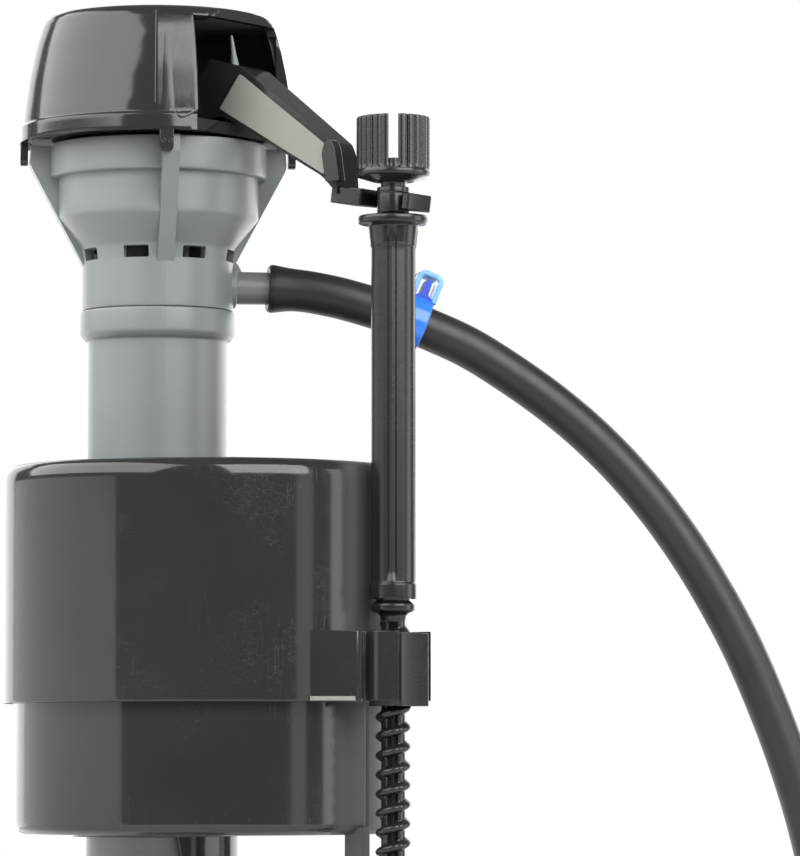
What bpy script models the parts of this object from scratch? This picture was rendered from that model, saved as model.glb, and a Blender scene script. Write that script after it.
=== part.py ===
# Toilet fill valve with a telescoping riser, a float cup and a refill hose.
# Metres, +Z up. The origin lies on the shank's axis in the plane where the
# shank washer meets the tank floor. +X points from the riser to the rod.
import math
import bmesh
import bpy
from mathutils import Matrix, Vector

MM = 0.001

# Heights above the tank floor
Z_TOP = 228.6
Z_CAP = 203.9
Z_BODY = 203.6
Z_NECK = 171.3
Z_RISER = 12.6
Z_NIPPLE = 176.2
Z_SEAM = 94.9
Z_CUP_TOP = 140.4
Z_CUP_LOW = 70.1
Z_ROD_TOP = 205.1
Z_ROD_LOW = 47.0
Z_SHANK = -57.0
Z_INNER = 148.0

# Radii and offsets
R_RIM = 27.0
R_RISER = 13.5
R_SLEEVE = 16.3
R_CUP = 39.4
R_CUP_LOW = 37.1
CUP_X = 12.6
ROD_X = 57.0
R_THREAD = 3.375
R_CORE = 2.3
PITCH = 3.6
R_SHANK = 11.9
PIVOT = (9.0, 209.8)
FORK_Z = 189.45
FORK_TILT = 8.0
SLOT_TURN = 36.3
FIN_ANGLES = (45.0, 135.0, 225.0, 315.0)
NIPPLE_ANGLE = 45.0
HOSE_R = 4.1
CLIP_R = 51.0
CLIP_Z = 169.7
CLIP_SLOPE = 21.0

# Hose centreline: distance from the riser's axis, and height
HOSE = [
    (21.6, 176.2), (27.7, 175.9), (32.5, 175.2), (37.6, 174.1), (45.5, 171.8),
    (53.6, 168.6), (61.5, 165.1), (69.5, 160.3), (77.5, 154.8), (85.5, 148.3),
    (93.5, 140.4), (101.6, 130.6), (109.7, 118.4), (117.9, 102.9),
    (126.1, 82.1), (131.5, 62.0), (134.5, 40.0), (135.0, 18.0),
    (133.6, -2.0), (131.0, -20.0),
]


def clear_scene():
    for thing in list(bpy.data.objects):
        bpy.data.objects.remove(thing, do_unlink=True)


def new_collection(name):
    group = bpy.data.collections.new(name)
    bpy.context.scene.collection.children.link(group)
    return group


clear_scene()
VALVE = new_collection("toilet_fill_valve")
CUTTERS = new_collection("cutters")
CUTTERS.hide_render = True


def material(name, color, rough, metal=0.0):
    skin = bpy.data.materials.new(name)
    skin.use_nodes = True
    shader = skin.node_tree.nodes["Principled BSDF"]
    shader.inputs["Base Color"].default_value = (*color, 1.0)
    shader.inputs["Roughness"].default_value = rough
    shader.inputs["Metallic"].default_value = metal
    skin.diffuse_color = (*color, 1.0)
    return skin


GREY = (0.42, 0.45, 0.50)
BLACK = (0.02, 0.02, 0.022)
RUBBER = (0.03, 0.03, 0.03)
STEEL = (0.55, 0.55, 0.56)
BLUE = (0.10, 0.35, 0.75)
WHITE = (0.75, 0.75, 0.73)


def add(name, mesh, color=None, rough=0.4, metal=0.0, cutter=False):
    thing = bpy.data.objects.new(name, mesh)
    if cutter:
        CUTTERS.objects.link(thing)
        thing.hide_render = True
        thing.display_type = "WIRE"
    else:
        VALVE.objects.link(thing)
        mesh.materials.append(material(name, color, rough, metal))
    return thing


def mesh_from(name, verts, edges, faces):
    mesh = bpy.data.meshes.new(name)
    points = [[c * MM for c in p] for p in verts]
    mesh.from_pydata(points, edges, faces)
    mesh.update()
    return mesh


def lathe(name, profile, look=None, at=(0, 0), loop=True, steps=40, cutter=False):
    """Turn a (radius, height) profile about +Z through `at`."""
    verts = [(r, 0.0, z) for r, z in profile]
    count = len(verts)
    edges = [(i, i + 1) for i in range(count - 1)]
    if loop:
        edges.append((count - 1, 0))
    mesh = mesh_from(name, verts, edges, [])
    thing = add(name, mesh, *(look or ()), cutter=cutter)
    thing.location = (at[0] * MM, at[1] * MM, 0)
    turn = thing.modifiers.new("turn", "SCREW")
    turn.axis = "Z"
    turn.steps = steps
    turn.render_steps = steps
    turn.use_merge_vertices = True
    turn.merge_threshold = 0.00001
    turn.use_smooth_shade = True
    return thing


def box(name, low, high, look=None, cutter=False, turn=0.0):
    verts = [(x, y, z) for x in (low[0], high[0]) for y in (low[1], high[1])
             for z in (low[2], high[2])]
    faces = [(0, 1, 3, 2), (4, 6, 7, 5), (0, 4, 5, 1), (2, 3, 7, 6),
             (0, 2, 6, 4), (1, 5, 7, 3)]
    mesh = mesh_from(name, verts, [], faces)
    thing = add(name, mesh, *(look or ()), cutter=cutter)
    thing.rotation_euler = (0, 0, math.radians(turn))
    return thing


def rod_between(name, start, end, radius, steps=24):
    """A cutter or core cylinder from one point to another."""
    a = Vector(start) * MM
    b = Vector(end) * MM
    mesh = bpy.data.meshes.new(name)
    made = bmesh.new()
    bmesh.ops.create_cone(made, cap_ends=True, segments=steps, radius1=radius * MM,
                          radius2=radius * MM, depth=(b - a).length)
    made.to_mesh(mesh)
    made.free()
    thing = add(name, mesh, cutter=True)
    thing.location = (a + b) / 2
    thing.rotation_mode = "QUATERNION"
    thing.rotation_quaternion = (b - a).to_track_quat("Z", "Y")
    return thing


def slab(name, outline, axis, low, high, look=None, cutter=False, turn=0.0):
    """A flat outline thickened with Solidify from `low` to `high`.

    axis "Z": the outline is (x, y). axis "Y": the outline is (x, z)."""
    if axis == "Z":
        verts = [(x, y, low) for x, y in outline]
    else:
        verts = [(x, low, z) for x, z in outline]
    mesh = mesh_from(name, verts, [], [tuple(range(len(verts)))])
    normal = mesh.polygons[0].normal
    along = normal.z if axis == "Z" else normal.y
    thing = add(name, mesh, *(look or ()), cutter=cutter)
    thing.rotation_euler = (0, 0, math.radians(turn))
    solid = thing.modifiers.new("thickness", "SOLIDIFY")
    solid.thickness = (high - low) * MM
    solid.offset = 1.0 if along > 0 else -1.0
    return thing


def join(thing, tool, how="UNION"):
    step = thing.modifiers.new(how.lower() + "_" + tool.name, "BOOLEAN")
    step.operation = how
    step.solver = "EXACT"
    step.object = tool
    return step


def cut(thing, tool):
    return join(thing, tool, "DIFFERENCE")


def promote(thing, color, rough, metal=0.0):
    """Make a shape that was built as a cutter one of the valve's own pieces."""
    CUTTERS.objects.unlink(thing)
    VALVE.objects.link(thing)
    thing.hide_render = False
    thing.display_type = "TEXTURED"
    thing.data.materials.append(material(thing.name, color, rough, metal))


def at_angle(radius, angle, z):
    """The point at that distance and angle from the riser's axis."""
    turn = math.radians(angle)
    return (radius * math.cos(turn), radius * math.sin(turn), z)


GREY_LOOK = (GREY, 0.42)
BLACK_LOOK = (BLACK, 0.22)
RUBBER_LOOK = (RUBBER, 0.6)
WHITE_LOOK = (WHITE, 0.4)
STEEL_LOOK = (STEEL, 0.28, 1.0)


def build_shank_base():
    """Threaded shank, flange, grip and the inner tube in one moulding."""
    lathe("shank_base", [
        (8.5, Z_INNER), (10.9, Z_INNER), (10.9, 12.3), (15.5, 12.3), (15.5, 8.0),
        (17.5, 8.0), (17.5, 3.4), (R_SHANK, 3.4), (R_SHANK, Z_SHANK),
        (5.6, Z_SHANK), (5.6, 8.5), (8.5, 10.5),
    ], GREY_LOOK, steps=36)
    lathe("shank_washer", [(12.2, 3.1), (17.6, 3.1), (18.6, 0.0), (12.2, 0.0)],
          RUBBER_LOOK, steps=36)


def build_strainer():
    """Basket that keeps grit out of the inlet."""
    basket = lathe("inlet_strainer", [
        (0.0, -44.5), (4.2, -44.5), (4.2, -54.8), (5.2, -54.8), (5.2, -56.6),
        (3.2, -56.6), (3.2, -45.5), (0.0, -45.5),
    ], WHITE_LOOK, loop=False, steps=24)
    cut(basket, box("strainer_slot_x", (-6, -0.8, -53.5), (6, 0.8, -47), cutter=True))
    cut(basket, box("strainer_slot_y", (-0.8, -6, -53.5), (0.8, 6, -47), cutter=True))


def build_nut():
    """Washer and hexagon nut that hold the shank under the tank floor."""
    lathe("friction_washer", [(12.3, -10.0), (17.5, -10.0), (17.5, -11.2),
                              (12.3, -11.2)], WHITE_LOOK, steps=36)
    nut = lathe("lock_nut", [(0.0, -11.5), (18.4, -11.5), (18.4, -22.5), (0.0, -22.5)],
                (BLACK, 0.4), loop=False, steps=6)
    cut(nut, lathe("nut_bore", [(0.0, -5.0), (12.2, -5.0), (12.2, -30.0), (0.0, -30.0)],
                   loop=False, steps=36, cutter=True))


def build_riser():
    """Outer tube that slides over the inner tube, with its collar."""
    lathe("riser_tube", [
        (11.6, 177.5), (12.6, 177.5), (12.6, 171.0), (15.1, 171.0), (15.1, 166.5),
        (R_RISER, 166.5), (R_RISER, Z_RISER), (11.2, Z_RISER), (11.2, 17.0),
        (11.6, 17.6),
    ], GREY_LOOK, steps=40)


def build_supply():
    """Small tube that carries water up to the seat, and its sliding seal."""
    lathe("supply_tube", [
        (4.4, 188.1), (6.0, 188.1), (6.0, 23.0), (8.1, 23.0), (8.1, 21.3),
        (6.0, 21.3), (6.0, 16.7), (8.1, 16.7), (8.1, 15.0), (4.4, 15.0),
    ], GREY_LOOK, steps=28)
    lathe("lift_seal", [(6.3, 21.0), (8.2, 21.0), (8.2, 17.0), (6.3, 17.0)],
          RUBBER_LOOK, steps=28)
    lathe("seat_insert", [(2.4, 195.4), (5.9, 195.4), (5.9, 194.8), (5.0, 194.8),
                          (5.0, 188.4), (2.4, 188.4)], WHITE_LOOK, steps=28)


def vent_cutter():
    """Eight windows, one on each side of every fin."""
    mesh = bpy.data.meshes.new("vent_windows")
    made = bmesh.new()
    for k in range(8):
        place = (Matrix.Rotation(math.radians(22.5 + 45.0 * k), 4, "Z")
                 @ Matrix.Translation(Vector((14.5, 0, 181.85)) * MM)
                 @ Matrix.Diagonal((6 * MM, 5 * MM, 2.3 * MM, 1.0)))
        bmesh.ops.create_cube(made, size=1.0, matrix=place)
    made.to_mesh(mesh)
    made.free()
    return add("vent_windows", mesh, cutter=True)


def web_cutter():
    """Six round water ways through the web under the seal."""
    mesh = bpy.data.meshes.new("web_holes")
    made = bmesh.new()
    for k in range(6):
        place = Matrix.Translation(Vector(at_angle(9.6, 60.0 * k + 30, 191.0)) * MM)
        bmesh.ops.create_cone(made, cap_ends=True, segments=12, radius1=1.6 * MM,
                              radius2=1.6 * MM, depth=6 * MM, matrix=place)
    made.to_mesh(mesh)
    made.free()
    return add("web_holes", mesh, cutter=True)


def build_valve_body():
    """Stepped body with fins, vents, seal chamber and refill nipple."""
    body = lathe("valve_body", [
        (18.4, Z_BODY), (21.2, Z_BODY), (21.2, 197.1), (19.6, 197.1), (19.6, 189.3),
        (15.0, 183.2), (14.7, 180.8), (14.7, Z_NECK), (12.9, Z_NECK), (12.9, 190.0),
        (5.3, 190.0), (5.3, 194.5), (6.6, 194.5), (6.6, 192.5), (13.0, 192.5),
        (13.0, 196.3), (15.5, 196.3), (15.5, 199.1), (18.4, 199.1),
    ], GREY_LOOK, steps=48)
    outline = [(13.9, 178.5), (15.2, 181.0), (25.1, 199.5), (24.8, 203.3),
               (20.2, 203.3), (18.9, 196.0), (18.9, 190.5), (14.2, 184.5),
               (13.9, 183.5)]
    for k, angle in enumerate(FIN_ANGLES):
        join(body, slab("fin_%d" % k, outline, "Y", -1.6, 1.6, cutter=True, turn=angle))
    join(body, rod_between("nipple_core", at_angle(13.8, NIPPLE_ANGLE, Z_NIPPLE),
                           at_angle(21.2, NIPPLE_ANGLE, Z_NIPPLE), 3.15))
    cut(body, rod_between("nipple_bore", at_angle(11.0, NIPPLE_ANGLE, Z_NIPPLE),
                          at_angle(23.0, NIPPLE_ANGLE, Z_NIPPLE), 1.7, 16))
    cut(body, vent_cutter())
    cut(body, web_cutter())


def build_seals():
    """Clamped seal ring, the disc that opens and closes, and its plunger."""
    lathe("cap_seal", [(6.8, 199.0), (15.2, 199.0), (15.2, 196.6), (6.8, 196.6)],
          RUBBER_LOOK, steps=32)
    lathe("seal_disc", [(0.0, 198.3), (6.4, 198.3), (6.4, 196.7), (0.0, 196.7)],
          (RUBBER, 0.5), loop=False, steps=28)
    lathe("plunger", [(0.0, 208.4), (1.2, 208.4), (1.5, 208.0), (1.5, 198.7),
                      (0.0, 198.7)], WHITE_LOOK, loop=False, steps=16)


def build_cap():
    """Round cap with a window for the lever, and the plug under it."""
    cap = lathe("valve_cap", [
        (0.0, Z_TOP), (21.4, Z_TOP), (22.5, 228.0), (24.0, 224.4), (24.7, 220.3),
        (25.5, 216.4), (26.3, 212.5), (26.6, 207.2), (R_RIM, 206.9), (R_RIM, Z_CAP),
        (18.1, Z_CAP), (18.1, 199.4), (0.0, 199.4),
    ], BLACK_LOOK, loop=False, steps=56)
    cut(cap, lathe("cap_cavity", [
        (0.0, 226.4), (20.4, 226.4), (22.0, 224.0), (23.6, 216.4), (24.6, 206.7),
        (0.0, 206.7)], loop=False, steps=40, cutter=True))
    for side in (-1, 1):
        low = min(side * 5.0, side * 6.8)
        join(cap, box("cheek_%d" % (side + 1), (5.0, low, 206.0),
                      (13.0, low + 1.8, 213.2), cutter=True))
    join(cap, box("lock_tab", (25.4, -1.3, 199.9), (26.9, 1.3, 204.6), cutter=True,
                  turn=-45.0))
    cut(cap, box("window", (14.0, -13.2, 206.7), (32.0, 11.0, 225.4), cutter=True))
    cut(cap, box("rim_notch", (20.5, -13.2, 203.0), (32.0, 11.0, 207.5), cutter=True))
    cut(cap, rod_between("plunger_hole", (0, 0, 190), (0, 0, 212), 1.8, 16))
    cut(cap, rod_between("pin_hole", (PIVOT[0], -8, PIVOT[1]), (PIVOT[0], 8, PIVOT[1]),
                         1.5, 16))
    promote(rod_between("lever_pin", (PIVOT[0], -7.2, PIVOT[1]),
                        (PIVOT[0], 7.2, PIVOT[1]), 1.3, 16), *STEEL_LOOK)


def fork_outline():
    """Fork plate seen from above, with its mouth towards -Y."""
    return [(-13.0, -2.5), (-5.8, -2.5), (-5.8, 3.6), (3.9, 3.6), (3.9, -2.5),
            (5.4, -2.5), (5.4, 5.4), (-13.0, 5.4)]


def build_lever():
    """Lever with its block, sloping arm and the fork that holds the rod."""
    outline = [
        (-3.5, 212.2), (4.0, 214.0), (8.5, 217.0), (12.5, 217.2), (23.6, 215.6),
        (44.8, 200.4), (46.0, 200.1), (46.2, 190.6), (43.8, 193.2), (42.6, 194.6),
        (22.0, 206.4), (19.0, 207.9), (13.0, 207.3), (8.0, 207.6), (3.0, 208.4),
        (-3.5, 209.2),
    ]
    local = [(x - PIVOT[0], z - PIVOT[1]) for x, z in outline]
    lever = slab("lever", local, "Y", -4.5, 4.5, BLACK_LOOK)
    lever.location = (PIVOT[0] * MM, 0, PIVOT[1] * MM)
    fork = slab("fork", fork_outline(), "Z", -1.6, 1.6, cutter=True)
    fork.location = (ROD_X * MM, 0, FORK_Z * MM)
    fork.rotation_euler = (0, math.radians(FORK_TILT), 0)
    join(lever, fork)
    cut(lever, rod_between("lever_bore", (PIVOT[0], -8, PIVOT[1]),
                           (PIVOT[0], 8, PIVOT[1]), 1.5, 16))


def rod_levels():
    """Rows of (radius, height, thread share) from the knob to the tip."""
    rows = [(7.0, Z_ROD_TOP, 0), (7.0, 194.4, 0), (6.6, 193.0, 0), (2.2, 192.9, 0),
            (2.2, 186.7, 0), (6.65, 186.7, 0), (6.65, 184.3, 0), (4.3, 184.2, 0),
            (4.3, 180.7, 0), (4.2, 180.6, 0), (4.2, 117.1, 0), (4.4, 117.0, 0),
            (4.4, 114.2, 0), (3.2, 114.1, 0), (3.2, 113.6, 0), (4.1, 113.5, 0),
            (4.1, 111.9, 0), (R_CORE, 111.8, 0)]
    per_turn = 5
    count = int((110.6 - Z_ROD_LOW - 1.2) / PITCH * per_turn)
    for k in range(count + 1):
        share = 1 if 0 < k < count else 0
        rows.append((R_CORE, 110.6 - k * PITCH / per_turn, share))
    rows.append((R_CORE, Z_ROD_LOW, 0))
    return rows


def rod_point(radius, z, share, angle):
    """Ring radius with a round thread of the set pitch where share is 1."""
    phase = angle - 2 * math.pi * z / PITCH
    crest = max(0.0, math.cos(phase)) ** 0.5
    r = radius + share * (R_THREAD - R_CORE) * crest
    return (r * math.cos(angle), r * math.sin(angle), z)


def build_rod():
    """Knob, neck, flange, shaft and long threaded end in one moulding."""
    around = 16
    rows = rod_levels()
    verts = [(0, 0, rows[0][1])]
    for radius, z, share in rows:
        verts += [rod_point(radius, z, share, 2 * math.pi * k / around)
                  for k in range(around)]
    verts.append((0, 0, rows[-1][1]))
    last = len(verts) - 1
    faces = []
    for k in range(around):
        n = (k + 1) % around
        faces.append((0, 1 + k, 1 + n))
        faces.append((last, last - around + n, last - around + k))
        for row in range(len(rows) - 1):
            a = 1 + row * around
            b = a + around
            faces.append((a + k, b + k, b + n, a + n))
    mesh = mesh_from("adjusting_rod", verts, [], faces)
    mesh.polygons.foreach_set("use_smooth", [True] * len(mesh.polygons))
    rod = add("adjusting_rod", mesh, BLACK, 0.25)
    rod.location = (ROD_X * MM, 0, 0)
    slot = box("driver_slot", (-0.9, -9, 196.7), (0.9, 9, 208), cutter=True,
               turn=SLOT_TURN)
    slot.location.x = ROD_X * MM
    cut(rod, slot)
    lathe("fork_bushing", [(2.5, 191.8), (3.1, 191.8), (3.1, 187.0), (2.5, 187.0)],
          (BLACK, 0.35), at=(ROD_X, 0), steps=24)


def lug_outline():
    """Nose round the rod, running back tangentially to the cup's wall."""
    points = []
    for k in range(9):
        turn = math.radians(-53 + 106 * k / 8)
        points.append((ROD_X + 7.3 * math.cos(turn), 7.3 * math.sin(turn)))
    for k in range(7):
        turn = math.radians(22.7 - 45.4 * k / 6)
        points.append((CUP_X + 38.6 * math.cos(turn), 38.6 * math.sin(turn)))
    return points


def tab_outline():
    """Part of the sleeve's ring, on the rod's side, that reaches lower."""
    outer = [(R_SLEEVE - 0.05, math.radians(-38 + 76 * k / 8)) for k in range(9)]
    inner = [(13.4, math.radians(37 - 74 * k / 8)) for k in range(9)]
    return [(r * math.cos(turn), r * math.sin(turn)) for r, turn in outer + inner]


def build_cup_upper():
    """Upside-down cup with the sleeve round the riser and the rod's lug."""
    cup = lathe("float_cup_upper", [
        (0.0, Z_CUP_TOP), (37.4, Z_CUP_TOP), (38.8, 139.8), (R_CUP, 138.2),
        (R_CUP, Z_SEAM), (37.8, Z_SEAM), (37.8, 137.8), (37.0, 138.7), (0.0, 138.7),
    ], (BLACK, 0.15), at=(CUP_X, 0), loop=False, steps=64)
    join(cup, lathe("sleeve_core", [(0.0, 139.5), (R_SLEEVE, 139.5), (R_SLEEVE, 69.3),
                                    (0.0, 69.3)], loop=False, steps=40, cutter=True))
    join(cup, slab("sleeve_tab", tab_outline(), "Z", 60.0, 74.0, cutter=True))
    join(cup, slab("lug_core", lug_outline(), "Z", Z_SEAM + 0.4, 108.2, cutter=True))
    cut(cup, lathe("sleeve_bore", [(0.0, 150.0), (14.4, 150.0), (14.4, 50.0),
                                   (0.0, 50.0)], loop=False, steps=40, cutter=True))
    cut(cup, box("lug_pocket", (53.05, -4.6, 90), (70, 5.3, 112), cutter=True))
    clip = box("thread_clip", (54.5, -4.3, 95.2), (62.0, 5.0, 107.9), (BLACK, 0.3))
    cut(clip, rod_between("clip_bore", (ROD_X, 0, 90), (ROD_X, 0, 112), 3.7))


def build_cup_lower():
    """Lower cup that closes the float, with a guide leg beside the rod."""
    cup = lathe("float_cup_lower", [
        (0.0, 71.7), (34.6, 71.7), (35.5, 72.6), (35.5, 104.0), (R_CUP_LOW, 104.0),
        (R_CUP_LOW, 72.0), (35.2, Z_CUP_LOW), (0.0, Z_CUP_LOW),
    ], (BLACK, 0.2), at=(CUP_X, 0), loop=False, steps=64)
    join(cup, box("guide_leg", (48.6, -1.4, 58.0), (52.4, 1.4, 80.0), cutter=True))
    cut(cup, lathe("floor_hole", [(0.0, 80.0), (16.8, 80.0), (16.8, 60.0), (0.0, 60.0)],
                   loop=False, steps=40, cutter=True))


def hose_points():
    return [at_angle(r, NIPPLE_ANGLE, z) for r, z in HOSE]


def build_hose():
    """Refill hose as one tube along its centreline."""
    curve = bpy.data.curves.new("refill_hose", "CURVE")
    curve.dimensions = "3D"
    curve.bevel_depth = HOSE_R * MM
    curve.bevel_resolution = 3
    curve.use_fill_caps = True
    line = curve.splines.new("POLY")
    points = hose_points()
    line.points.add(len(points) - 1)
    for spot, point in zip(line.points, points):
        spot.co = (*[c * MM for c in point], 1.0)
    hose = bpy.data.objects.new("refill_hose", curve)
    VALVE.objects.link(hose)
    curve.materials.append(material("refill_hose", RUBBER, 0.5))


def tilt_frame(r, z, slope):
    """Frame with +X along the hose and +Z away from it, `slope` degrees down."""
    return (Matrix.Rotation(math.radians(NIPPLE_ANGLE), 4, "Z")
            @ Matrix.Translation(Vector((r, 0, z)) * MM)
            @ Matrix.Rotation(math.radians(slope), 4, "Y"))


def build_flow_clip():
    """Moulded clip: a band round the hose with a looped grip above it."""
    place = tilt_frame(CLIP_R, CLIP_Z, CLIP_SLOPE)
    clip = box("flow_clip", (-2.4, -4.2, 4.7), (2.4, 4.2, 9.9), (BLUE, 0.25))
    clip.matrix_world = place
    band = rod_between("clip_band", (0, 0, 0), (1, 0, 0), 5.5, 28)
    band.matrix_world = place @ Matrix.Rotation(math.pi / 2, 4, "Y")
    band.scale = (1, 1, 4800 * MM)
    join(clip, band)
    hole = rod_between("clip_hole", (0, 0, 0), (1, 0, 0), 4.4, 28)
    hole.matrix_world = place @ Matrix.Rotation(math.pi / 2, 4, "Y")
    hole.scale = (1, 1, 9000 * MM)
    cut(clip, hole)
    for k, x in enumerate((-1.32, 0.72)):
        slot = box("clip_slot_%d" % k, (x, -6, 5.3), (x + 0.6, 6, 8.8), cutter=True)
        slot.matrix_world = place
        cut(clip, slot)


def build_hose_end():
    """Elbow at the hose's end, and the spring clip for the overflow pipe."""
    end = at_angle(131.0, NIPPLE_ANGLE, -20.0)
    low = at_angle(130.0, NIPPLE_ANGLE, -37.0)
    elbow = rod_between("angle_adapter", (end[0], end[1], -20.4), low, 3.6, 24)
    promote(elbow, *WHITE_LOOK)
    join(elbow, rod_between("elbow_arm", at_angle(131.0, NIPPLE_ANGLE, -34.0),
                            at_angle(112.0, NIPPLE_ANGLE, -34.0), 3.2))
    slab("overflow_clip", [(106.3, -30.0), (111.6, -30.0), (111.6, -52.0),
                           (110.7, -52.0), (110.7, -30.9), (107.2, -30.9),
                           (107.2, -50.0), (106.3, -50.0)],
         "Y", -4.0, 4.0, STEEL_LOOK, turn=NIPPLE_ANGLE)


build_shank_base()
build_strainer()
build_nut()
build_riser()
build_supply()
build_valve_body()
build_seals()
build_cap()
build_lever()
build_rod()
build_cup_upper()
build_cup_lower()
build_hose()
build_flow_clip()
build_hose_end()
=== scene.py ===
import math

import bmesh
import bpy
import numpy as np
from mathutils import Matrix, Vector


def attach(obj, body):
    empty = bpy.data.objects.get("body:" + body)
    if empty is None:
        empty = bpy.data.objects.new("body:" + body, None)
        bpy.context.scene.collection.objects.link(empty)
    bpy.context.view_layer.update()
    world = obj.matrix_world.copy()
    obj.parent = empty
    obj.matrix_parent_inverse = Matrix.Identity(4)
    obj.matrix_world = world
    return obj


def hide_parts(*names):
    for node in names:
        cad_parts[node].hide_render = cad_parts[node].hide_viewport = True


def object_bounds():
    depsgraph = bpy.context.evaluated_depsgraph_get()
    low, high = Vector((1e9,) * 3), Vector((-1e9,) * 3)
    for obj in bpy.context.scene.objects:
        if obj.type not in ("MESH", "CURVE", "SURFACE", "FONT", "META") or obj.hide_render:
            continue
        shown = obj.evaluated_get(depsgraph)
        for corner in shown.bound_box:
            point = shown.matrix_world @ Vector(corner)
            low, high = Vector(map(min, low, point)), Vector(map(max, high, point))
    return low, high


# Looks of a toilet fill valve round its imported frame. Shapes are written in
# millimetres in the row frame: +Z up the riser, +X towards the adjusting rod.
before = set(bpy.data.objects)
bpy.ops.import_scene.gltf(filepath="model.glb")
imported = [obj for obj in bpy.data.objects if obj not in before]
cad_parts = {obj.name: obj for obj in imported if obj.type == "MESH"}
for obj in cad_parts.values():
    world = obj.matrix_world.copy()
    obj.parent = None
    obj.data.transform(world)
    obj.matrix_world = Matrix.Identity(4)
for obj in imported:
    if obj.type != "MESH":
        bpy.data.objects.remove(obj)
CAD_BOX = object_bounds()

MM = 0.001
WELD = 1e-7
ROD_X = 57.0
CUP_X = 12.6
PIVOT = (9.0, 209.8)

# Directions about +Z, in degrees
FACING = -51.0
SLOT_TURN = 36.3
TAB_ANGLE = -47.5
NIPPLE_ANGLE = 45.0
WINDOW = (-34.5, 27.3)

# The window's top edge: its distance from the riser's axis, and its height
BROW_X = 20.8
BROW_Z = 226.8

# Refill hose, its nipple, and the clip: distance from the axis, height, fall
HOSE_R = 4.1
NIPPLE_Z = 176.2
CLIP_R = 50.3
CLIP_Z = 170.0
CLIP_SLOPE = 21.0

# Fork of the lever, and the pitches of the two threads
FORK_Z = 189.45
FORK_TILT = 8.0
ROD_PITCH = 3.6
SHANK_PITCH = 1.8143

# Studio, in metres: the aim of the lamps and their distance, and the floor's half side
STUDIO_AIM = (0.02, 0, 0.13)
LAMP_DISTANCE = 1.0
ROOM_LEVEL = 0.24
FLOOR_REACH = 0.6
FLOOR_GAP = 0.0006

# Hose centreline: distance from the riser's axis, and height
HOSE = [
    (21.6, 176.2), (27.7, 175.9), (32.5, 175.2), (37.6, 174.1), (45.5, 171.8),
    (53.6, 168.6), (61.5, 165.1), (69.5, 160.3), (77.5, 154.8), (85.5, 148.3),
    (93.5, 140.4), (101.6, 130.6), (109.7, 118.4), (117.9, 102.9),
    (126.1, 82.1), (131.5, 62.0), (134.5, 40.0), (135.0, 18.0),
    (133.6, -2.0), (131.0, -20.0),
]


# ---------------------------------------------------------------- geometry

def polar(degrees):
    """Unit vector at that angle about +Z."""
    turn = math.radians(degrees)
    return np.array([math.cos(turn), math.sin(turn), 0.0])


def rounded(points, fillet, closed=True, steps=6):
    """Each corner B becomes the parabola B + t(u(1-s)^2 + v s^2), tangent to both
    sides, where u and v point to the neighbours and t is the fillet's reach."""
    p = np.asarray(points, float)
    before, after = np.roll(p, 1, 0), np.roll(p, -1, 0)
    u, v = before - p, after - p
    lu = np.linalg.norm(u, axis=1, keepdims=True)
    lv = np.linalg.norm(v, axis=1, keepdims=True)
    reach = np.minimum(np.reshape(fillet, (-1, 1)) * np.ones((len(p), 1)),
                       0.48 * np.minimum(lu, lv))
    if not closed:
        reach[[0, -1]] = 0
    s = np.linspace(0, 1, steps)[None, :, None]
    u, v = u / np.maximum(lu, 1e-9), v / np.maximum(lv, 1e-9)
    bend = u[:, None] * (1 - s) ** 2 + v[:, None] * s ** 2
    return (p[:, None] + reach[:, None] * bend).reshape(-1, p.shape[1])


def dense(path, step, closed=False):
    """The same path with points no more than `step` apart, old corners kept."""
    p = np.vstack([path, path[:1]]) if closed else np.asarray(path, float)
    keep = np.r_[True, np.linalg.norm(np.diff(p, axis=0), axis=1) > 1e-6]
    p = p[keep]
    s = np.r_[0, np.cumsum(np.linalg.norm(np.diff(p, axis=0), axis=1))]
    t = np.unique(np.round(np.r_[s, np.arange(0, s[-1], step)], 6))
    out = np.stack([np.interp(t, s, p[:, k]) for k in range(p.shape[1])], 1)
    return out[:-1] if closed else out


def smooth_path(points, count):
    """Catmull-Rom curve through the points, read at `count` even parameters."""
    p = np.asarray(points, float)
    q = np.vstack([2 * p[0] - p[1], p, 2 * p[-1] - p[-2]])
    t = np.linspace(0, len(p) - 1 - 1e-9, count)
    i = t.astype(int)
    f = (t - i)[:, None]
    a, b, c, d = q[i], q[i + 1], q[i + 2], q[i + 3]
    return 0.5 * (2 * b + (c - a) * f + (2 * a - 5 * b + 4 * c - d) * f ** 2
                  + (3 * b - a - 3 * c + d) * f ** 3)


def quads(rows, cols, wrap_rows=False, wrap_cols=True):
    """Faces of a grid of points, joined round where it wraps."""
    i = np.arange(rows if wrap_rows else rows - 1)
    j = np.arange(cols if wrap_cols else cols - 1)
    i, j = np.meshgrid(i, j, indexing="ij")
    n, m = (i + 1) % rows, (j + 1) % cols
    return np.stack([i * cols + j, n * cols + j, n * cols + m, i * cols + m],
                    -1).reshape(-1, 4)


def rings(rows, steps=144, closed=True, centre=(0.0, 0.0), shape=None):
    """Circles of (radius, height) or (centre x, radius, height), stacked in order.
    A closed stack is a ring body. `shape` bends the radius: r = shape(r, z, angle)."""
    rows = np.asarray(rows, float)
    if rows.shape[1] == 2:
        rows = np.c_[np.zeros(len(rows)), rows]
    angle = np.linspace(0, 2 * np.pi, steps, endpoint=False)[None]
    radius = rows[:, 1:2] + 0 * angle
    height = rows[:, 2:3] + 0 * angle
    if shape is not None:
        radius = shape(radius, height, angle)
    points = np.stack([centre[0] + rows[:, :1] + radius * np.cos(angle),
                       centre[1] + radius * np.sin(angle), height], -1)
    return points.reshape(-1, 3), quads(len(rows), steps, closed)


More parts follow.
